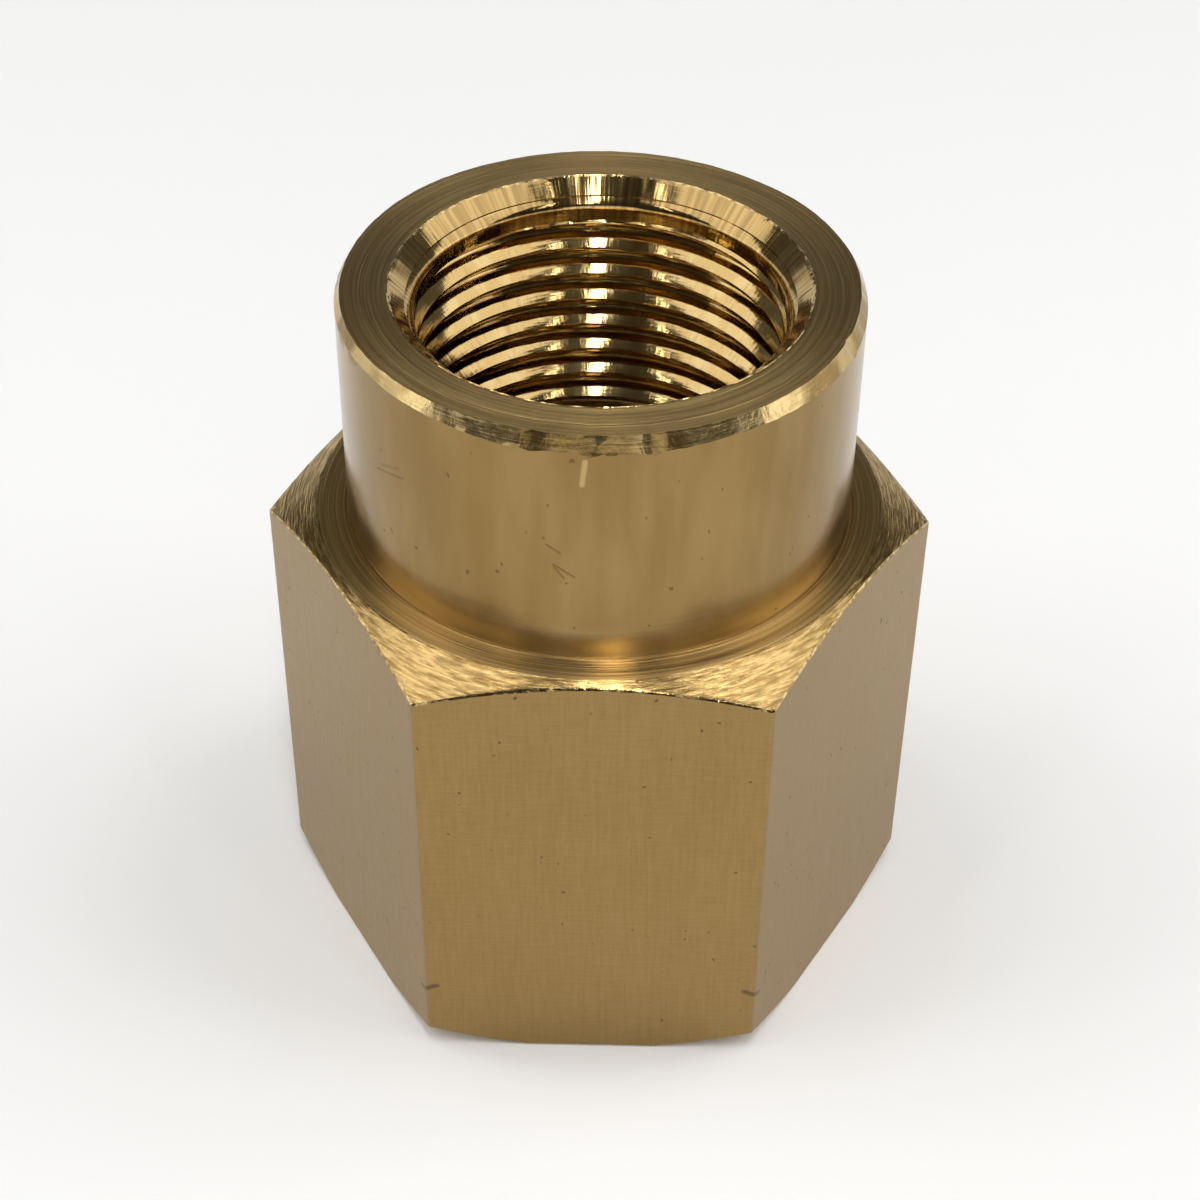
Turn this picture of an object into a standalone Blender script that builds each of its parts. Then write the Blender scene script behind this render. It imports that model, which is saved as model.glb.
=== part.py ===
"""Reducing coupling, female to female, machined from one piece of hexagonal brass bar.

Metres, +Z up. The origin is the centre of the hexagonal end face, where the large thread opens.
The small thread opens at the top of the round collar. Both threads are right-handed and parallel.
"""

import math
from collections import namedtuple

import bmesh
import bpy

MM = 0.001
INCH = 25.4 * MM

# Outside: the hexagonal bar and what the lathe leaves of it
ACROSS_FLATS = 1.0 * INCH
TOTAL_HEIGHT = 33.0 * MM
HEX_HEIGHT = 22.1 * MM
COLLAR_RADIUS = 11.0 * MM
RIM_CHAMFER_RADIAL = 0.36 * MM
RIM_CHAMFER_AXIAL = 0.64 * MM
SHOULDER_FLAT_RADIUS = 12.3 * MM
SHOULDER_CHAMFER = math.radians(27.5)
BASE_FLAT_RADIUS = 12.92 * MM
BASE_CHAMFER = math.radians(31.5)
CORNER_RADIUS = ACROSS_FLATS / 2 / math.cos(math.radians(30))

# Inside: two tapped ends that meet in a conical step
Thread = namedtuple("Thread", "pitch major_radius drill_radius turns")
SMALL_THREAD = Thread(INCH / 19, 16.662 / 2 * MM, 15.25 / 2 * MM, 8.25)
LARGE_THREAD = Thread(INCH / 14, 20.955 / 2 * MM, 19.0 / 2 * MM, 6.75)
FLANK_ANGLE = math.radians(27.5)
ROOT_FLAT_IN_PITCHES = 1 / 6
MOUTH_OVER_MAJOR = 0.42 * MM
LEAD_UNDER_MAJOR = 0.20 * MM
LEAD_DEPTH_IN_PITCHES = 1.35
GROOVE_START_IN_PITCHES = 0.69
LARGE_BORE_DEPTH = 16.0 * MM
STEP_SLOPE = math.radians(31)

# Cutters and facets
OVERCUT = 1.0 * MM
THREAD_CUTTER_ROOM = 0.15 * MM
OUTER_SEGMENTS = 96
BORE_SEGMENTS = 32
FADE_TURNS = 0.3
SMOOTH_BELOW = math.radians(35)


def clear_scene():
    for obj in list(bpy.data.objects):
        bpy.data.objects.remove(obj)


def brass():
    material = bpy.data.materials.new("brass")
    material.use_nodes = True
    shader = material.node_tree.nodes["Principled BSDF"]
    shader.inputs["Base Color"].default_value = (0.56, 0.40, 0.16, 1.0)
    shader.inputs["Metallic"].default_value = 1.0
    shader.inputs["Roughness"].default_value = 0.32
    return material


def object_from(bm, name):
    """Turn a finished bmesh into an object, with its faces pointing out."""
    bmesh.ops.recalc_face_normals(bm, faces=bm.faces)
    mesh = bpy.data.meshes.new(name)
    bm.to_mesh(mesh)
    bm.free()
    obj = bpy.data.objects.new(name, mesh)
    bpy.context.scene.collection.objects.link(obj)
    return obj


def hexagonal_bar(name, bottom, top):
    """A length of bar with two of its flats facing -Y and +Y, and corners on the X axis."""
    bm = bmesh.new()
    corners = []
    for i in range(6):
        angle = math.radians(60 * i)
        x = CORNER_RADIUS * math.cos(angle)
        y = CORNER_RADIUS * math.sin(angle)
        corners.append(bm.verts.new((x, y, bottom)))
    end_face = bm.faces.new(corners)
    grown = bmesh.ops.extrude_face_region(bm, geom=[end_face])["geom"]
    raised = [item for item in grown if isinstance(item, bmesh.types.BMVert)]
    bmesh.ops.translate(bm, verts=raised, vec=(0, 0, top - bottom))
    return object_from(bm, name)


def turned(name, profile, segments):
    """Spin a profile of (radius, height) points round Z; it starts and ends on the axis."""
    bm = bmesh.new()
    points = [bm.verts.new((radius, 0, height)) for radius, height in profile]
    edges = [bm.edges.new(pair) for pair in zip(points, points[1:])]
    bmesh.ops.spin(
        bm, geom=points + edges, cent=(0, 0, 0), axis=(0, 0, 1),
        angle=math.tau, steps=segments, use_merge=True,
    )
    bmesh.ops.remove_doubles(bm, verts=bm.verts, dist=0.001 * MM)
    return object_from(bm, name)


def lathe_envelope():
    """All that the lathe leaves outside: collar, shoulder and the two chamfers on the hexagon."""
    clear = CORNER_RADIUS + OVERCUT
    shoulder_edge = HEX_HEIGHT - (clear - SHOULDER_FLAT_RADIUS) * math.tan(SHOULDER_CHAMFER)
    base_edge = (clear - BASE_FLAT_RADIUS) * math.tan(BASE_CHAMFER)
    profile = [
        (0, TOTAL_HEIGHT),
        (COLLAR_RADIUS - RIM_CHAMFER_RADIAL, TOTAL_HEIGHT),
        (COLLAR_RADIUS, TOTAL_HEIGHT - RIM_CHAMFER_AXIAL),
        (COLLAR_RADIUS, HEX_HEIGHT),
        (SHOULDER_FLAT_RADIUS, HEX_HEIGHT),
        (clear, shoulder_edge),
        (clear, base_edge),
        (BASE_FLAT_RADIUS, 0),
        (0, 0),
    ]
    return turned("lathe_envelope", profile, OUTER_SEGMENTS)


def mouth(thread):
    """The (radius, depth) points of one mouth: 45 degree countersink, then a taper to the drill size."""
    outer = thread.major_radius + MOUTH_OVER_MAJOR
    lead = thread.major_radius - LEAD_UNDER_MAJOR
    return [
        (outer + OVERCUT, -OVERCUT),
        (lead, outer - lead),
        (thread.drill_radius, LEAD_DEPTH_IN_PITCHES * thread.pitch),
    ]


def bore_cutter():
    """The drilled way through: small mouth, small drill, conical step, large drill, large mouth."""
    step_height = (LARGE_THREAD.drill_radius - SMALL_THREAD.drill_radius) * math.tan(STEP_SLOPE)
    small_side = [(radius, TOTAL_HEIGHT - depth) for radius, depth in mouth(SMALL_THREAD)]
    large_side = [(radius, depth) for radius, depth in reversed(mouth(LARGE_THREAD))]
    step = [
        (SMALL_THREAD.drill_radius, LARGE_BORE_DEPTH + step_height),
        (LARGE_THREAD.drill_radius, LARGE_BORE_DEPTH),
    ]
    ends = [(0, TOTAL_HEIGHT + OVERCUT)], [(0, -OVERCUT)]
    return turned("bore_cutter", ends[0] + small_side + step + large_side + ends[1], BORE_SEGMENTS)


def groove_section(thread, fade):
    """Half width and radius of the V groove's inner and outer edge; fade sinks it into the bore."""
    inner = thread.drill_radius - THREAD_CUTTER_ROOM
    outer = inner + THREAD_CUTTER_ROOM / 2 + fade * (thread.major_radius - inner - THREAD_CUTTER_ROOM / 2)
    root_half = thread.pitch * ROOT_FLAT_IN_PITCHES / 2
    inner_half = root_half + (outer - inner) * math.tan(FLANK_ANGLE)
    return (inner, inner_half), (outer, root_half)


def groove_cutter(name, thread, first_height):
    """A V ridge on a right-hand helix that rises from the +X side. Both its ends fade out."""
    bm = bmesh.new()
    steps = round(thread.turns * BORE_SEGMENTS)
    rings = []
    for i in range(steps + 1):
        turn = i / BORE_SEGMENTS
        angle = math.tau * turn
        height = first_height + thread.pitch * turn
        to_an_end = min(i, steps - i) / BORE_SEGMENTS
        fade = min(1.0, to_an_end / FADE_TURNS)
        (inner, inner_half), (outer, outer_half) = groove_section(thread, fade)
        section = [
            (inner, height - inner_half), (outer, height - outer_half),
            (outer, height + outer_half), (inner, height + inner_half),
        ]
        rings.append([bm.verts.new((r * math.cos(angle), r * math.sin(angle), z)) for r, z in section])
    for low, high in zip(rings, rings[1:]):
        for j in range(4):
            k = (j + 1) % 4
            bm.faces.new((low[j], low[k], high[k], high[j]))
    bm.faces.new(rings[0])
    bm.faces.new(rings[-1])
    return object_from(bm, name)


def small_groove():
    deepest = (GROOVE_START_IN_PITCHES + SMALL_THREAD.turns) * SMALL_THREAD.pitch
    return groove_cutter("small_thread_cutter", SMALL_THREAD, TOTAL_HEIGHT - deepest)


def large_groove():
    return groove_cutter("large_thread_cutter", LARGE_THREAD, GROOVE_START_IN_PITCHES * LARGE_THREAD.pitch)


def combine(obj, other, operation):
    """Add a Boolean against a helper that is itself left out of the model."""
    cut = obj.modifiers.new(other.name, "BOOLEAN")
    cut.operation = operation
    cut.solver = "EXACT"
    cut.object = other
    other.hide_render = True
    other.display_type = "WIRE"


def coupling_body():
    body = hexagonal_bar("coupling_body", -OVERCUT, TOTAL_HEIGHT + OVERCUT)
    combine(body, lathe_envelope(), "INTERSECT")
    combine(body, bore_cutter(), "DIFFERENCE")
    combine(body, small_groove(), "DIFFERENCE")
    combine(body, large_groove(), "DIFFERENCE")
    body.data.materials.append(brass())
    body.data.shade_smooth()
    body.data.set_sharp_from_angle(angle=SMOOTH_BELOW)
    return body


clear_scene()
coupling_body()
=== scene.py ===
import math

import bmesh
import bpy
import numpy as np
from mathutils import Matrix, Vector


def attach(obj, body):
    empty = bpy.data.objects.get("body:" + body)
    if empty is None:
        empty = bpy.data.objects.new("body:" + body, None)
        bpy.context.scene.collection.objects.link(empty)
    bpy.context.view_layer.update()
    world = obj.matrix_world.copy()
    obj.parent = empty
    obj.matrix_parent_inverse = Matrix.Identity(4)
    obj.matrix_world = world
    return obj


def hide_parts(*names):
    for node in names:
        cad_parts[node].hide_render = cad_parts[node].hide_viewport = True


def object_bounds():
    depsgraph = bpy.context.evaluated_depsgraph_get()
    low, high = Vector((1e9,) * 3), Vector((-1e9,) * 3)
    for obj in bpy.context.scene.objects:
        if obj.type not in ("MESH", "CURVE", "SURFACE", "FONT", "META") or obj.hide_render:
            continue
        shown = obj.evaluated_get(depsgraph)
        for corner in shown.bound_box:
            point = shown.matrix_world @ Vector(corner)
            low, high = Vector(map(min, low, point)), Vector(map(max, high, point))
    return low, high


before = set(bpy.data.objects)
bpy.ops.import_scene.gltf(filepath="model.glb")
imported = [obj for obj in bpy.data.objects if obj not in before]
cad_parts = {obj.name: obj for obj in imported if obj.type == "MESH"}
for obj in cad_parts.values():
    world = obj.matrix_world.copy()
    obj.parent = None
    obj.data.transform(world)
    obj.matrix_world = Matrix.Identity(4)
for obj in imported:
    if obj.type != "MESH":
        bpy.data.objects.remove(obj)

# Reducing coupling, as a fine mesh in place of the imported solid. Lengths here are in millimetres
# and angles in degrees. The hexagonal end stands on the floor and the collar is on top.
MM = 0.001
cad_low, cad_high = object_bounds()

ACROSS_FLATS = (cad_high.y - cad_low.y) / MM
TOP = cad_high.z / MM
APOTHEM = ACROSS_FLATS / 2
HEX_TOP = 22.1
COLLAR_R = 11.0
SHOULDER_FLAT_R = 12.3
SHOULDER_SLOPE = math.tan(math.radians(27.5))
BASE_FLAT_R = 12.92
BASE_SLOPE = math.tan(math.radians(31.5))

# Hexagon: corner rounding, least size of the lower chamfer, and how wavy the upper edge is
CORNER_ROUND = 0.22
BASE_FACE_INSET = 0.10
BASE_EDGE_MIN = 0.07
EDGE_WAVE = 0.02

# Groove round the collar's foot: points as (outside the wall, above the shoulder)
FOOT_GROOVE = ((0.17, 0.0), (0.10, -0.06), (0.03, -0.05), (0.0, 0.02))

# Chamfer round the collar's end: its full size, the share of it that is cut (mean, swing towards
# one side, waves, limits), and the fine waves of its two edges
RIM_RADIAL = 0.36
RIM_AXIAL = 0.64
RIM_MEAN = 0.68
RIM_SWING = 0.32
RIM_WIDEST_AT = 290
RIM_WAVE = 0.10
RIM_SHARES = (0.2, 1.1)
RIM_LOW_WAVE = 0.025
RIM_HIGH_WAVE = 0.015

# Burr round the upper mouth
BURR_OUTER = 0.09
BURR_HEIGHT = 0.045
BURR_DROP = 0.03

# Bore: the two mouths, the two threads, and the step between them
INCH = 25.4
THREAD_DEPTH_IN_PITCHES = 0.528
SMALL = {"pitch": INCH / 19, "major": 16.662 / 2, "drill": 15.25 / 2}
LARGE = {"pitch": INCH / 14, "major": 20.955 / 2, "drill": 19.0 / 2}
MOUTH_OVER_MAJOR = 0.42
LEAD_UNDER_MAJOR = 0.20
LEAD_LEDGE = 0.07
LEAD_CURVE = ((0.40, 0.125), (0.70, 0.27), (0.86, 0.45), (0.94, 0.70))
LEAD_END_IN_PITCHES = 1.235
LEAD_END_OVER_DRILL = 0.10
CREST_EDGE_BELOW_TOP = 1.778
SMALL_THREAD_END = TOP - 12.2
LARGE_THREAD_END = 13.7
LARGE_BORE_END = 16.0
STEP_RISE = (LARGE["drill"] - SMALL["drill"]) * math.tan(math.radians(31))

# Mesh columns round the axis, with extra ones this far from each corner
COLUMNS = 240
CORNER_COLUMNS = (-0.55, -0.25, 0.25, 0.55)

# Thread rows this close to an end are levelled, and the thread runs out over this height
SNAP_IN_PITCHES = 0.012
FADE_IN_PITCHES = 0.9

# Points closer than this are merged, and edges that bend more than this stay sharp
WELD = 0.002
SHARP_ANGLE = 28

# One ridge of the thread: share of the pitch above the crest's lower edge, share of the depth
FINE_RIDGE = (
    (0.00, 0.01), (0.02, -0.02), (0.05, 0.00), (0.09, 0.01), (0.13, 0.08), (0.18, 0.175),
    (0.24, 0.295), (0.30, 0.42), (0.345, 0.53), (0.38, 0.66), (0.41, 0.80), (0.44, 0.93),
    (0.50, 1.00), (0.64, 0.90), (0.82, 0.50),
)
COARSE_RIDGE = (
    (0.00, 0.01), (0.15, 0.00), (0.24, 0.12), (0.36, 0.36), (0.47, 0.68), (0.55, 0.98),
    (0.63, 1.00), (0.80, 0.60),
)

# Dents along the collar's rim: angle, half width in degrees, depth
RIM_NICKS = ((-91, 2.2, 0.26), (-103, 1.6, 0.12), (-87, 1.6, 0.10), (-78, 1.8, 0.12), (-21, 2.0, 0.15))

# Brass, as linear colours: usual, fresh cut, bright, painted reflection of the shoulder on the collar's
# foot, pale, dulled, and in pits
BRASS = (0.315, 0.205, 0.076)
BRASS_CUT = (0.50, 0.345, 0.138)
BRASS_BRIGHT = (0.57, 0.42, 0.19)
BRASS_PAINTED_REFLECTION = (0.62, 0.48, 0.26)
BRASS_PALE = (0.345, 0.230, 0.090)
BRASS_DULL = (0.280, 0.178, 0.062)
BRASS_DARK = (0.12, 0.07, 0.025)

# Dents on the two front corners near the foot, as strokes between (angle, height) points
CORNER_DENTS = (((-121.5, 3.5), (-118.6, 3.9)), ((-61.4, 3.9), (-58.6, 3.5)))

# Scratches, a scuff and a rubbed line on the collar wall: ends as (angle, height)
SCRATCHES = (
    ((-144, 28.15), (-134.5, 28.65)),
    ((-142, 28.55), (-136, 29.0)),
    ((-100, 27.8), (-97.2, 27.45)),
    ((-98.6, 26.85), (-94.3, 26.3)),
    ((-98.4, 26.7), (-96.4, 26.2)),
)
RUBBED_LINE = ((-92.1, 32.0), (-92.7, 30.9))

# Camera, floor and lights. An azimuth of 0 is the camera's side and 90 is +X
CAMERA_AZIMUTH = 0.67
CAMERA_ELEVATION = 39.89
CAMERA_ROLL = 0.63
CAMERA_DISTANCE = 111.93
CAMERA_AIM_HEIGHT = 16.0
CAMERA_AIM_RIGHT = 0.094
CAMERA_LENS = 73.6
CAMERA_SENSOR = 36
CAMERA_CLIP = 5
FLOOR_RADIUS = 450
FLOOR_GAP = 0.02
LIGHT_AIM_HEIGHT = 20

# Area lights: name, azimuth, elevation, distance, width, height, radiance
LIGHTS = (
    ("left_softbox", -88, 42, 500, 350, 600, 1.5),
    ("right_softbox", 92, 40, 500, 410, 600, 1.5),
    ("back_softbox", 180, 78, 500, 700, 180, 1.0),
    ("top_lamp", 9, 66, 500, 38, 480, 14.0),
    ("left_strip", -44, 50, 500, 16, 180, 8.0),
    ("right_strip", 41, 50, 500, 16, 180, 8.0),
    ("left_spot", -101, 76, 500, 35, 70, 12.0),
    ("right_spot", 97, 71, 500, 35, 70, 12.0),
    ("front_fill", 0, 18, 600, 500, 160, 0.95),
)

# Surroundings: bright up to a little above the horizon, dim higher up, less so behind the object.
# The change from bright to dim is between these sines of the elevation
HORIZON_LOW = 0.19
HORIZON_HIGH = 0.27
SKY_LOW = (0.98, 0.99, 1.0, 1)
SKY_FRONT = (0.05, 0.045, 0.035, 1)
SKY_BACK = (0.13, 0.128, 0.115, 1)

MATERIALS = (
    "drawn_flats", "turned_wall", "faced_ring", "torn_chamfer", "rim", "edge", "countersink", "thread",
)


def column_angles():
    """Angles of the mesh columns in radians, closer together at the six corners."""
    even = np.arange(COLUMNS) * 360.0 / COLUMNS
    extra = [60 * corner + offset for corner in range(6) for offset in CORNER_COLUMNS]
    return np.radians(np.unique(np.mod(np.concatenate([even, extra]), 360.0)))


THETA = column_angles()


def wander(waves, seed):
    """A smooth random curve round the axis, about -1 to 1, with up to that many waves."""
    rng = np.random.default_rng(seed)
    count = np.arange(1, waves + 1)
    size = rng.normal(0, 1, waves) / np.sqrt(waves / 2)
    shift = rng.uniform(0, 2 * math.pi, waves)
    return np.sum(size[:, None] * np.cos(count[:, None] * THETA + shift[:, None]), axis=0) * 0.6


def hexagon_radius():
    """Distance from the axis to the hexagon with its corners slightly rounded."""
    from_flat = np.abs(np.mod(np.degrees(THETA), 60.0) - 30.0)
    sharp = APOTHEM / np.cos(np.radians(from_flat))
    centre = (APOTHEM - CORNER_ROUND) / math.cos(math.radians(30))
    tangent = math.degrees(math.atan((APOTHEM - CORNER_ROUND) * math.tan(math.radians(30)) / APOTHEM))
    off_corner = np.radians(30.0 - from_flat)
    inside = np.maximum(CORNER_ROUND ** 2 - (centre * np.sin(off_corner)) ** 2, 0)
    rounded = centre * np.cos(off_corner) + np.sqrt(inside)
    return np.where(from_flat > tangent, rounded, sharp)


HEX_R = hexagon_radius()
SAME_ALL_ROUND = np.ones_like(THETA)


def ring(radius, height):
    """One closed row of points. Either value is a number, or an array with one for each column."""
    return np.stack([radius * SAME_ALL_ROUND, height * SAME_ALL_ROUND])


def span(first, last, rows):
    """Rings from first to last, both included, in even steps."""
    share = np.linspace(0, 1, rows + 1)[:, None, None]
    return first + (last - first) * share


class Skin:
    """Collects bands of rings into one vertex list and one face list."""

    def __init__(self):
        self.points = []
        self.faces = []
        self.slots = []
        self.count = 0

    def add_grid(self, rings, slot, shift=0):
        """Add a grid of rings; after a full turn a row meets the one that is shift rows on."""
        rings = np.asarray(rings)
        rows, _, columns = rings.shape
        radius, height = rings[:, 0], rings[:, 1]
        grid = np.stack([radius * np.cos(THETA), radius * np.sin(THETA), height], axis=-1)
        index = self.count + np.arange(rows * columns).reshape(rows, columns)
        inner = np.stack([index[:-1, :-1], index[:-1, 1:], index[1:, 1:], index[1:, :-1]], axis=-1)
        low, high = index[: rows - shift], index[shift:]
        seam = np.stack([low[:-1, -1], high[:-1, 0], high[1:, 0], low[1:, -1]], axis=-1)
        faces = np.concatenate([inner.reshape(-1, 4), seam])
        self.points.append(grid.reshape(-1, 3))
        self.faces.append(faces)
        self.slots.append(np.full(len(faces), MATERIALS.index(slot)))
        self.count += rows * columns

    def object(self, name):
        mesh = bpy.data.meshes.new(name)
        points = np.concatenate(self.points) * MM
        faces = np.concatenate(self.faces)
        mesh.from_pydata(points.tolist(), [], faces.tolist())
        mesh.polygons.foreach_set("material_index", np.concatenate(self.slots))
        obj = bpy.data.objects.new(name, mesh)
        bpy.context.scene.collection.objects.link(obj)
        return obj


def mouth(thread):
    """Circles as (radius, depth), from the countersink's edge to the end of the lead taper."""
    outer = thread["major"] + MOUTH_OVER_MAJOR
    lead = thread["major"] - LEAD_UNDER_MAJOR
    end = thread["drill"] + LEAD_END_OVER_DRILL
    start_depth = outer - lead
    curve_depth = start_depth + LEAD_LEDGE
    end_depth = LEAD_END_IN_PITCHES * thread["pitch"]
    circles = [(outer, 0.0), (lead, start_depth), (lead, curve_depth)]
    for inward, down in LEAD_CURVE:
        circles.append((lead + (end - lead) * inward, curve_depth + (end_depth - curve_depth) * down))
    circles.append((end, end_depth))
    return circles


def mouth_rings(circles, face_height, way):
    """The mouth's circles below its countersink edge, way is -1 for down and 1 for up."""
    return np.array([ring(radius, face_height + way * depth) for radius, depth in circles[1:]])


def thread_grid(thread, ridge, low, high, phase, edge_low, edge_high, fade_at_low):
    """Rings that climb with a right-hand helix, cut off level at low and high.

    phase is the height of a crest's lower edge at angle 0. edge_low and edge_high are the radii of
    the level circles at the two ends. Returns the rings and how many rows one pitch takes.
    """
    pitch = thread["pitch"]
    first = math.floor((low - phase) / pitch) - 2
    last = math.ceil((high - phase) / pitch) + 1
    climb = pitch * THETA / (2 * math.pi)
    snap = SNAP_IN_PITCHES * pitch
    rings = []
    for turn in range(first, last + 1):
        for up, depth in ridge:
            height = phase + (turn + up) * pitch + climb
            to_end = height - low if fade_at_low else high - height
            fade = np.clip(to_end / (FADE_IN_PITCHES * pitch), 0, 1)
            radius = thread["drill"] + depth * THREAD_DEPTH_IN_PITCHES * pitch * fade
            below = height < low + snap
            above = height > high - snap
            radius = np.where(below, edge_low, np.where(above, edge_high, radius))
            height = np.where(below, low, np.where(above, high, height))
            rings.append(ring(radius, height))
    return np.array(rings), len(ridge)


def nicks():
    """How deep the rim is dented at each column."""
    degrees = np.degrees(THETA)
    depth = np.zeros_like(THETA)
    for angle, half_width, size in RIM_NICKS:
        off = np.abs(np.mod(degrees - angle + 180, 360) - 180)
        depth = np.maximum(depth, size * np.clip(1 - off / half_width, 0, 1))
    return depth


def add_hexagon(skin, base_inner, shoulder_edge):
    """The lower end face, both chamfers and the six sides."""
    base_outer = ring(np.minimum(BASE_FLAT_R, HEX_R - BASE_FACE_INSET), 0)
    low_edge = np.maximum((HEX_R - BASE_FLAT_R) * BASE_SLOPE, BASE_EDGE_MIN)
    chamfer_low = ring(HEX_R - 0.05, low_edge - 0.03)
    side_low = ring(HEX_R, low_edge + 0.04)
    high_edge = HEX_TOP - (HEX_R - SHOULDER_FLAT_R) * SHOULDER_SLOPE
    side_high = ring(HEX_R, high_edge - 0.06 + EDGE_WAVE * wander(90, 1))
    lip = 0.07
    chamfer_high = ring(HEX_R - lip, high_edge + lip * SHOULDER_SLOPE)
    skin.add_grid(span(base_inner, base_outer, 4), "faced_ring")
    skin.add_grid(span(base_outer, chamfer_low, 4), "torn_chamfer")
    skin.add_grid(span(chamfer_low, side_low, 1), "edge")
    skin.add_grid(span(side_low, side_high, 28), "drawn_flats")
    skin.add_grid(span(side_high, chamfer_high, 2), "edge")
    skin.add_grid(span(chamfer_high, shoulder_edge, 8), "torn_chamfer")


def add_collar(skin, shoulder_edge):
    """The shoulder's flat ring, the groove, the wall and the rim. Returns the rim's inner edge."""
    bite = RIM_MEAN + RIM_SWING * np.cos(THETA - math.radians(RIM_WIDEST_AT)) + RIM_WAVE * wander(14, 2)
    bite = np.clip(bite, *RIM_SHARES)
    dent = nicks()
    rim_low = ring(COLLAR_R, TOP - RIM_AXIAL * bite - dent + RIM_LOW_WAVE * wander(100, 4))
    rim_high_r = COLLAR_R - RIM_RADIAL * bite - 0.6 * dent + RIM_HIGH_WAVE * wander(100, 5)
    rim_high = ring(rim_high_r, TOP - 0.3 * dent)
    foot = [ring(COLLAR_R + outside, HEX_TOP + above) for outside, above in FOOT_GROOVE]
    skin.add_grid(span(shoulder_edge, foot[0], 4), "faced_ring")
    for outer, inner in zip(foot, foot[1:]):
        skin.add_grid(span(outer, inner, 1), "faced_ring")
    skin.add_grid(span(foot[-1], rim_low, 20), "turned_wall")
    skin.add_grid(span(rim_low, rim_high, 4), "rim")
    return rim_high


def add_small_bore(skin, rim_high):
    """The upper end face, the burr, the mouth and the small thread."""
    circles = mouth(SMALL)
    mouth_r = circles[0][0]
    burr = np.minimum(np.abs(wander(110, 3)), 1)
    burr_outer = ring(mouth_r + BURR_OUTER, TOP)
    burr_top = ring(mouth_r + 0.04 + 0.02 * burr, TOP + BURR_HEIGHT * burr)
    inner_edge = ring(mouth_r - 0.03 * burr, TOP - BURR_DROP)
    lead = mouth_rings(circles, TOP, -1)
    skin.add_grid(span(rim_high, burr_outer, 10), "faced_ring")
    skin.add_grid(span(burr_outer, burr_top, 1), "edge")
    skin.add_grid(span(burr_top, inner_edge, 1), "edge")
    skin.add_grid(span(inner_edge, lead[0], 6), "countersink")
    skin.add_grid(lead, "countersink")
    lead_end_r, lead_depth = circles[-1]
    phase = TOP - CREST_EDGE_BELOW_TOP - SMALL["pitch"] / 4
    rings, per_pitch = thread_grid(
        SMALL, FINE_RIDGE, SMALL_THREAD_END, TOP - lead_depth, phase, SMALL["drill"], lead_end_r, True
    )
    skin.add_grid(rings, "thread", per_pitch)


def add_neck(skin):
    """The plain bore between the threads, with its conical step."""
    neck_top = ring(SMALL["drill"], SMALL_THREAD_END)
    neck_low = ring(SMALL["drill"], LARGE_BORE_END + STEP_RISE)
    step_low = ring(LARGE["drill"], LARGE_BORE_END)
    large_top = ring(LARGE["drill"], LARGE_THREAD_END)
    skin.add_grid(span(neck_top, neck_low, 6), "thread")
    skin.add_grid(span(neck_low, step_low, 4), "thread")
    skin.add_grid(span(step_low, large_top, 4), "thread")


def add_large_bore(skin, circles, base_inner):
    """The large thread and the lower mouth."""
    lead_end_r, lead_depth = circles[-1]
    rings, per_pitch = thread_grid(
        LARGE, COARSE_RIDGE, lead_depth, LARGE_THREAD_END, 0, lead_end_r, LARGE["drill"], False
    )
    skin.add_grid(rings, "thread", per_pitch)
    lead = mouth_rings(circles, 0, 1)
    skin.add_grid(lead[::-1], "countersink")
    skin.add_grid(span(lead[0], base_inner, 5), "countersink")


def join_up(obj):
    """Merge the bands where they meet, turn the faces outwards and keep the real edges sharp."""
    bm = bmesh.new()
    bm.from_mesh(obj.data)
    bmesh.ops.remove_doubles(bm, verts=bm.verts, dist=WELD * MM)
    bmesh.ops.recalc_face_normals(bm, faces=bm.faces)
    bm.to_mesh(obj.data)
    bm.free()
    obj.data.shade_smooth()
    obj.data.set_sharp_from_angle(angle=math.radians(SHARP_ANGLE))


def build_coupling():
    skin = Skin()
    large_mouth = mouth(LARGE)
    base_inner = ring(large_mouth[0][0], 0)
    shoulder_edge = ring(SHOULDER_FLAT_R, HEX_TOP)
    add_hexagon(skin, base_inner, shoulder_edge)
    rim_high = add_collar(skin, shoulder_edge)
    add_small_bore(skin, rim_high)
    add_neck(skin)
    add_large_bore(skin, large_mouth, base_inner)
    obj = skin.object("coupling")
    join_up(obj)
    return obj


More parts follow.
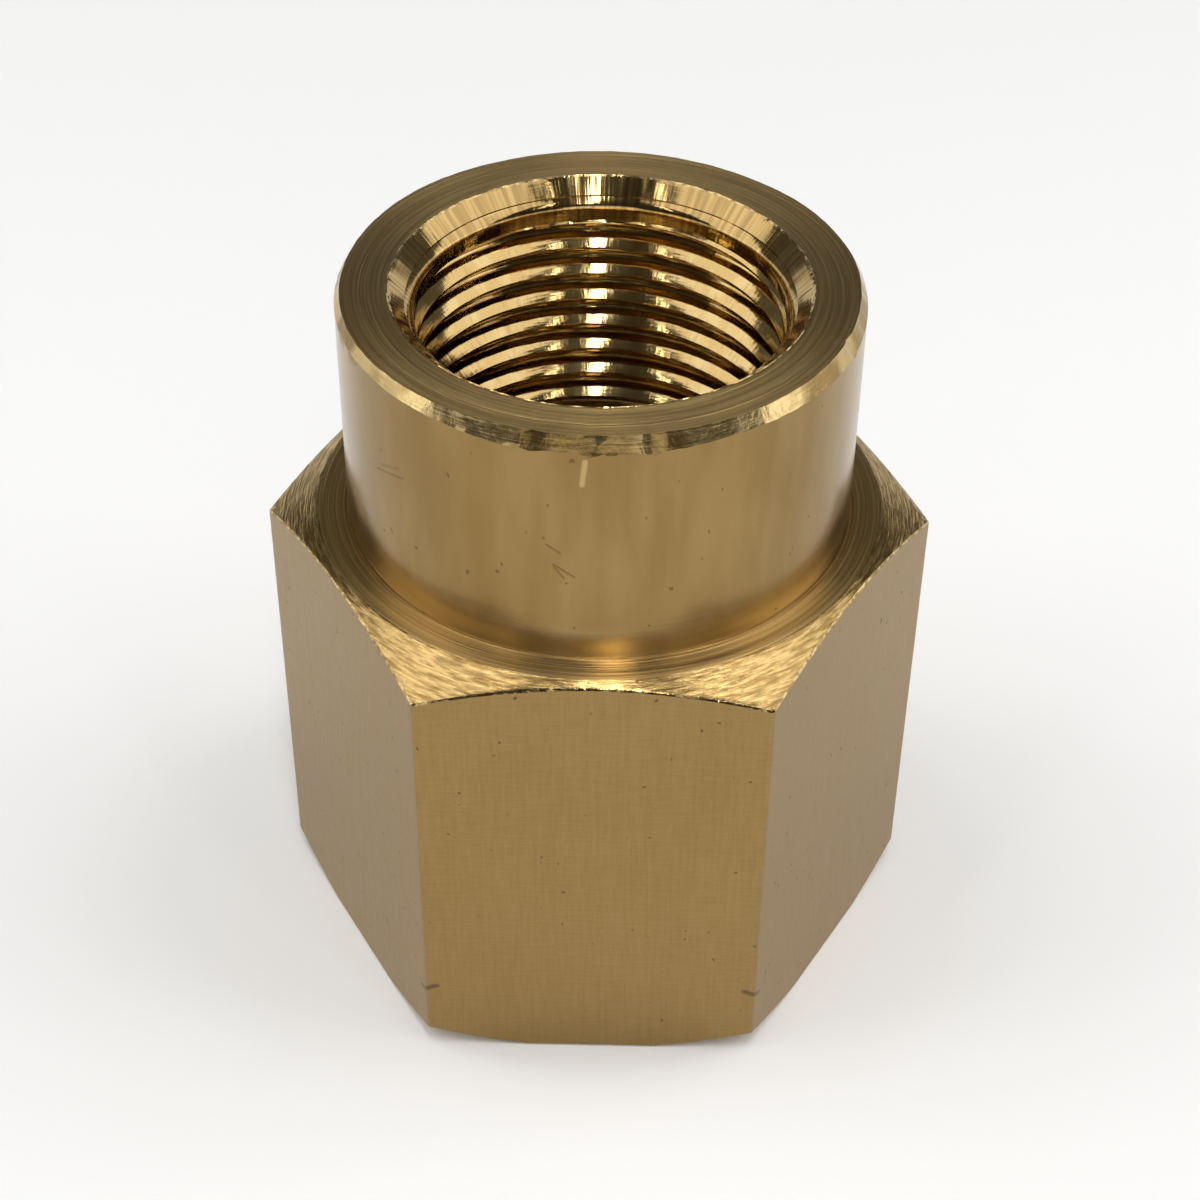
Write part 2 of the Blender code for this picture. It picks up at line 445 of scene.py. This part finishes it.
class Nodes:
    """Short forms for the shader nodes of one brass finish, in millimetre coordinates."""

    def __init__(self, name, stretch=0.0):
        """stretch is how much the gloss spreads across the turning lines, from 0 to 1."""
        self.material = bpy.data.materials.new(name)
        self.material.use_nodes = True
        self.tree = self.material.node_tree
        self.shader = self.tree.nodes["Principled BSDF"]
        self.shader.inputs["Metallic"].default_value = 1.0
        place = self.make("ShaderNodeTexCoord").outputs["Object"]
        place = self.vector("SCALE", place, Scale=1 / MM)[0]
        axes = self.make("ShaderNodeSeparateXYZ", {0: place})
        self.x, self.y, self.z = axes.outputs
        flat = self.make("ShaderNodeCombineXYZ", {0: self.x, 1: self.y}).outputs[0]
        self.radius = self.vector("LENGTH", flat)["Value"]
        self.way = self.vector("NORMALIZE", flat)[0]
        self.shader.inputs["Anisotropic"].default_value = stretch
        self.shader.inputs["Anisotropic Rotation"].default_value = 0.25
        tangent = self.make("ShaderNodeTangent", direction_type="RADIAL", axis="Z").outputs[0]
        self.tree.links.new(tangent, self.shader.inputs["Tangent"])

    def make(self, kind, inputs=None, **settings):
        made = self.tree.nodes.new(kind)
        for key, value in settings.items():
            setattr(made, key, value)
        for key, value in (inputs or {}).items():
            if isinstance(value, bpy.types.NodeSocket):
                self.tree.links.new(value, made.inputs[key])
            else:
                made.inputs[key].default_value = value
        return made

    def vector(self, operation, *inputs, **named):
        sockets = {**dict(enumerate(inputs)), **named}
        return self.make("ShaderNodeVectorMath", sockets, operation=operation).outputs

    def math(self, operation, a, b=0.0, clamp=False):
        return self.make("ShaderNodeMath", {0: a, 1: b}, operation=operation, use_clamp=clamp).outputs[0]

    def grain(self, round_scale, third, third_scale, detail=2.0):
        """Noise from 0 to 1, stretched: one scale for X and Y, another for height or radius."""
        x = self.math("MULTIPLY", self.x, round_scale)
        y = self.math("MULTIPLY", self.y, round_scale)
        w = self.math("MULTIPLY", third, third_scale)
        spot = self.make("ShaderNodeCombineXYZ", {0: x, 1: y, 2: w}).outputs[0]
        noise = self.make("ShaderNodeTexNoise", {"Vector": spot, "Scale": 1.0, "Detail": detail})
        return noise.outputs["Fac"]

    def streaks(self, round_scale, third, third_scale, detail=2.0):
        """Noise from 0 to 1 that follows the angle round the axis and one more distance."""
        spun = self.vector("SCALE", self.way, Scale=round_scale)[0]
        lift = self.make("ShaderNodeCombineXYZ", {2: self.math("MULTIPLY", third, third_scale)}).outputs[0]
        spot = self.vector("ADD", spun, lift)[0]
        noise = self.make("ShaderNodeTexNoise", {"Vector": spot, "Scale": 1.0, "Detail": detail})
        return noise.outputs["Fac"]

    def stroke(self, start, end, width):
        """1 along a scratch between two (angle, height) points, 0 off it.

        Angles are turned into lengths at the collar's radius.
        """
        angle = self.math("ARCTAN2", self.y, self.x)
        along = self.math("MULTIPLY", angle, COLLAR_R)
        spot = self.make("ShaderNodeCombineXYZ", {0: along, 1: self.z}).outputs[0]
        first = Vector((math.radians(start[0]) * COLLAR_R, start[1], 0))
        way = Vector((math.radians(end[0]) * COLLAR_R, end[1], 0)) - first
        from_start = self.vector("SUBTRACT", spot, first)[0]
        dot = self.vector("DOT_PRODUCT", from_start, way / way.length_squared)["Value"]
        share = self.math("ADD", dot, 0.0, clamp=True)
        nearest = self.vector("SCALE", way, Scale=share)[0]
        gap = self.vector("DISTANCE", from_start, nearest)["Value"]
        return self.math("SUBTRACT", 1.0, self.band(gap, 0.3 * width, width))

    def strokes(self, ends, width):
        """1 along any of several scratches, 0 off them all."""
        marks = 0.0
        for start, end in ends:
            marks = self.math("MAXIMUM", self.stroke(start, end, width), marks)
        return marks

    def band(self, value, low, high):
        """0 below low, 1 above high, smooth between."""
        limits = {"Value": value, "From Min": low, "From Max": high}
        return self.make("ShaderNodeMapRange", limits, interpolation_type="SMOOTHSTEP").outputs[0]

    def mix(self, share, a, b):
        made = self.make("ShaderNodeMix", data_type="RGBA")
        for socket, value in zip((made.inputs[0], made.inputs[6], made.inputs[7]), (share, a, b)):
            if isinstance(value, bpy.types.NodeSocket):
                self.tree.links.new(value, socket)
            else:
                socket.default_value = value if isinstance(value, float) else (*value, 1)
        return made.outputs[2]

    def total(self, *terms):
        """Sum of (pattern, weight) pairs."""
        result = None
        for pattern, weight in terms:
            part = self.math("MULTIPLY", pattern, weight)
            result = part if result is None else self.math("ADD", result, part)
        return result

    def finish(self, colour, roughness, height):
        """Connect colour, roughness and a bump height in millimetres."""
        self.tree.links.new(colour, self.shader.inputs["Base Color"])
        self.tree.links.new(roughness, self.shader.inputs["Roughness"])
        bump = self.make("ShaderNodeBump", {"Height": height, "Distance": MM, "Strength": 1.0})
        self.tree.links.new(bump.outputs[0], self.shader.inputs["Normal"])
        return self.material


def drawn_flats():
    """Bar surface: fine marks along and across the bar, and a few pits."""
    n = Nodes("drawn_flats")
    draw = n.grain(6.0, n.z, 0.4, 3.0)
    across = n.grain(0.7, n.z, 7.5, 2.0)
    cloud = n.grain(0.30, n.z, 0.16, 3.0)
    speckle = n.grain(7.0, n.z, 7.0, 1.0)
    pits = n.band(n.grain(3.0, n.z, 2.4, 1.0), 0.735, 0.775)
    weave = n.total((draw, 0.42), (across, 0.34), (cloud, 0.20), (speckle, 0.20))
    colour = n.mix(n.band(weave, 0.32, 0.84), BRASS_DULL, BRASS_PALE)
    dents = n.strokes(CORNER_DENTS, 0.16)
    colour = n.mix(n.math("MULTIPLY", n.math("MAXIMUM", pits, dents), 0.75), colour, BRASS_DARK)
    roughness = n.math("ADD", n.total((draw, 0.20), (across, 0.14), (cloud, 0.06)), 0.14)
    height = n.total((draw, 0.0060), (across, 0.0045), (speckle, 0.0014), (pits, -0.02), (dents, -0.04))
    return n.finish(colour, roughness, height)


def turned_wall():
    """Smooth turned collar: fine turning lines, faint smears, scratches, a scuff, and a painted reflection
    of the shoulder that lightens the wall towards its foot.
    """
    n = Nodes("turned_wall", 0.75)
    lines = n.grain(0.10, n.z, 9.0, 3.0)
    smear = n.streaks(7.0, n.z, 0.12, 3.0)
    speckle = n.grain(5.0, n.z, 5.0, 1.0)
    pits = n.band(n.grain(2.3, n.z, 2.3, 1.0), 0.74, 0.78)
    marks = n.strokes(SCRATCHES, 0.07)
    # foot: painted reflection of the shoulder's flat ring, strongest at the foot and fading out 1.9 mm
    # above the shoulder
    foot = n.band(n.z, HEX_TOP + 1.9, HEX_TOP + 0.2)
    rub = n.stroke(*RUBBED_LINE, 0.16)
    colour = n.mix(n.band(smear, 0.30, 0.75), BRASS_DULL, BRASS_PALE)
    # Painted reflection: the wall's colour is lightened towards its foot
    colour = n.mix(n.math("MULTIPLY", foot, 0.7), colour, BRASS_PAINTED_REFLECTION)
    colour = n.mix(n.math("MULTIPLY", pits, 0.6), colour, BRASS_DARK)
    colour = n.mix(n.math("MULTIPLY", marks, 0.22), colour, BRASS_DARK)
    colour = n.mix(n.math("MULTIPLY", rub, 0.7), colour, BRASS_BRIGHT)
    roughness = n.math("ADD", n.total((smear, 0.10), (speckle, 0.05), (lines, 0.06)), 0.07)
    height = n.total((lines, 0.0022), (speckle, 0.0006), (smear, 0.003), (pits, -0.012), (marks, -0.015))
    return n.finish(colour, roughness, height)


def faced_ring():
    """End faces and the shoulder's flat ring: turning lines round the axis, some of them deep."""
    n = Nodes("faced_ring", 0.8)
    rings = n.grain(0.09, n.radius, 9.0, 3.0)
    deep = n.band(n.grain(0.07, n.radius, 4.0, 1.0), 0.56, 0.72)
    broad = n.grain(0.25, n.radius, 1.6, 2.0)
    speckle = n.grain(4.0, n.radius, 6.0, 1.0)
    colour = n.mix(n.band(rings, 0.35, 0.65), BRASS_PALE, BRASS_CUT)
    roughness = n.math("ADD", n.total((broad, 0.14), (speckle, 0.10)), 0.24)
    height = n.total((rings, 0.027), (deep, 0.012), (broad, 0.02), (speckle, 0.0022))
    return n.finish(colour, roughness, height)


def torn_chamfer():
    """Chamfers cut across the bar: fine torn turning lines."""
    n = Nodes("torn_chamfer", 0.3)
    rings = n.grain(0.30, n.radius, 8.0, 3.0)
    tears = n.grain(1.4, n.radius, 12.0, 3.0)
    blot = n.grain(1.0, n.radius, 7.0, 3.0)
    colour = n.mix(n.band(blot, 0.35, 0.65), BRASS_DULL, BRASS_CUT)
    colour = n.mix(n.math("MULTIPLY", n.band(tears, 0.50, 0.72), 0.45), colour, BRASS_DARK)
    roughness = n.math("ADD", n.total((tears, 0.16), (blot, 0.10)), 0.09)
    height = n.total((rings, 0.013), (tears, 0.018), (blot, 0.008))
    return n.finish(colour, roughness, height)


def rim():
    """Chamfer round the collar's end: burnished in places, dull in others, with dents."""
    n = Nodes("rim", 0.4)
    rub = n.streaks(4.0, n.z, 0.3, 2.0)
    dents = n.streaks(22.0, n.z, 1.5, 3.0)
    lines = n.grain(0.3, n.z, 8.0, 2.0)
    colour = n.mix(n.band(rub, 0.42, 0.58), BRASS, BRASS_BRIGHT)
    roughness = n.math("ADD", n.total((dents, 0.12), (rub, -0.10)), 0.19)
    height = n.total((dents, 0.030), (lines, 0.008))
    return n.finish(colour, roughness, height)


def edge():
    """Burnished edges: bright, with small dents."""
    n = Nodes("edge")
    dents = n.grain(3.0, n.z, 3.0, 3.0)
    colour = n.mix(n.band(dents, 0.4, 0.6), BRASS, BRASS_BRIGHT)
    roughness = n.math("ADD", n.math("MULTIPLY", dents, 0.16), 0.06)
    height = n.math("MULTIPLY", dents, 0.03)
    return n.finish(colour, roughness, height)


def countersink():
    """Mouth of the bore: chatter marks down the slope over fine turning lines."""
    n = Nodes("countersink", 0.2)
    chatter = n.streaks(9.0, n.z, 0.15, 1.0)
    fine = n.streaks(42.0, n.z, 0.25, 2.0)
    lines = n.grain(0.2, n.z, 9.0, 2.0)
    colour = n.mix(n.band(fine, 0.35, 0.65), BRASS_PALE, BRASS_CUT)
    roughness = n.math("ADD", n.total((fine, 0.07), (chatter, 0.05)), 0.05)
    height = n.total((chatter, 0.020), (fine, 0.005), (lines, 0.003))
    return n.finish(colour, roughness, height)


def thread_finish():
    """Tapped thread and drilled bore: fine marks along the cut and rough patches."""
    n = Nodes("thread")
    cut = n.grain(0.4, n.z, 9.0, 3.0)
    tear = n.streaks(36.0, n.z, 2.0, 3.0)
    blot = n.streaks(9.0, n.z, 1.2, 2.0)
    colour = n.mix(n.band(blot, 0.4, 0.7), BRASS_CUT, BRASS_BRIGHT)
    colour = n.mix(n.math("MULTIPLY", n.band(tear, 0.52, 0.75), 0.4), colour, BRASS)
    roughness = n.math("ADD", n.total((tear, 0.07), (blot, 0.05)), 0.045)
    height = n.total((cut, 0.012), (tear, 0.005), (blot, 0.008))
    return n.finish(colour, roughness, height)


FINISHES = {
    "drawn_flats": drawn_flats,
    "turned_wall": turned_wall,
    "faced_ring": faced_ring,
    "torn_chamfer": torn_chamfer,
    "rim": rim,
    "edge": edge,
    "countersink": countersink,
    "thread": thread_finish,
}


def direction(azimuth, elevation):
    """The direction from the object towards something. Azimuth 0 is the camera's side, 90 is +X."""
    a, e = math.radians(azimuth), math.radians(elevation)
    return Vector((math.sin(a) * math.cos(e), -math.cos(a) * math.cos(e), math.sin(e)))


def make_camera():
    azimuth, roll = math.radians(CAMERA_AZIMUTH), math.radians(CAMERA_ROLL)
    back = direction(CAMERA_AZIMUTH, CAMERA_ELEVATION)
    across = Vector((math.cos(azimuth), math.sin(azimuth), 0))
    right = across * math.cos(roll) + back.cross(across) * math.sin(roll)
    up = back.cross(right)
    aim = Vector((0, 0, CAMERA_AIM_HEIGHT * MM)) + right * CAMERA_AIM_RIGHT * MM
    data = bpy.data.cameras.new("camera")
    data.lens = CAMERA_LENS
    data.sensor_width = CAMERA_SENSOR
    data.clip_start = CAMERA_CLIP * MM
    camera = bpy.data.objects.new("camera", data)
    turn = Matrix((right, up, back)).transposed().to_4x4()
    camera.matrix_world = Matrix.Translation(aim + back * CAMERA_DISTANCE * MM) @ turn
    bpy.context.scene.collection.objects.link(camera)
    bpy.context.scene.camera = camera


def softbox(name, azimuth, elevation, distance, width, height, radiance):
    """An area light that faces the object."""
    way = direction(azimuth, elevation)
    data = bpy.data.lights.new(name, "AREA")
    data.shape = "RECTANGLE"
    data.size = width * MM
    data.size_y = height * MM
    data.energy = radiance * math.pi * data.size * data.size_y
    light = bpy.data.objects.new(name, data)
    light.location = Vector((0, 0, LIGHT_AIM_HEIGHT * MM)) + way * distance * MM
    light.rotation_mode = "QUATERNION"
    light.rotation_quaternion = way.to_track_quat("Z", "Y")
    bpy.context.scene.collection.objects.link(light)


def make_world():
    world = bpy.data.worlds.new("world")
    world.use_nodes = True
    bpy.context.scene.world = world
    tree = world.node_tree
    coord = tree.nodes.new("ShaderNodeTexCoord")
    split = tree.nodes.new("ShaderNodeSeparateXYZ")
    ramp = tree.nodes.new("ShaderNodeValToRGB")
    tree.links.new(coord.outputs["Generated"], split.inputs[0])
    tree.links.new(split.outputs["Z"], ramp.inputs[0])
    stops = ramp.color_ramp.elements
    stops[0].position = HORIZON_LOW
    stops[1].position = HORIZON_HIGH
    depth = tree.nodes.new("ShaderNodeMapRange")
    depth.inputs["From Min"].default_value = -0.2
    depth.inputs["From Max"].default_value = 0.5
    tree.links.new(split.outputs["Y"], depth.inputs["Value"])
    upper = tree.nodes.new("ShaderNodeMix")
    upper.data_type = "RGBA"
    upper.inputs[6].default_value = SKY_FRONT
    upper.inputs[7].default_value = SKY_BACK
    tree.links.new(depth.outputs[0], upper.inputs[0])
    sky = tree.nodes.new("ShaderNodeMix")
    sky.data_type = "RGBA"
    sky.inputs[6].default_value = SKY_LOW
    tree.links.new(ramp.outputs[0], sky.inputs[0])
    tree.links.new(upper.outputs[2], sky.inputs[7])
    tree.links.new(sky.outputs[2], tree.nodes["Background"].inputs[0])


def make_floor():
    bpy.ops.mesh.primitive_circle_add(
        vertices=128, radius=FLOOR_RADIUS * MM, fill_type="NGON", location=(0, 0, -FLOOR_GAP * MM)
    )
    floor = bpy.context.object
    floor.name = "floor"
    material = bpy.data.materials.new("floor")
    material.use_nodes = True
    shader = material.node_tree.nodes["Principled BSDF"]
    shader.inputs["Base Color"].default_value = (0.96, 0.96, 0.96, 1)
    shader.inputs["Roughness"].default_value = 0.8
    floor.data.materials.append(material)


coupling = build_coupling()
for slot_name in MATERIALS:
    coupling.data.materials.append(FINISHES[slot_name]())
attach(coupling, "root")
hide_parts("coupling_body")

make_camera()
make_floor()
make_world()
for light_values in LIGHTS:
    softbox(*light_values)
bpy.context.scene.view_settings.view_transform = "Standard"
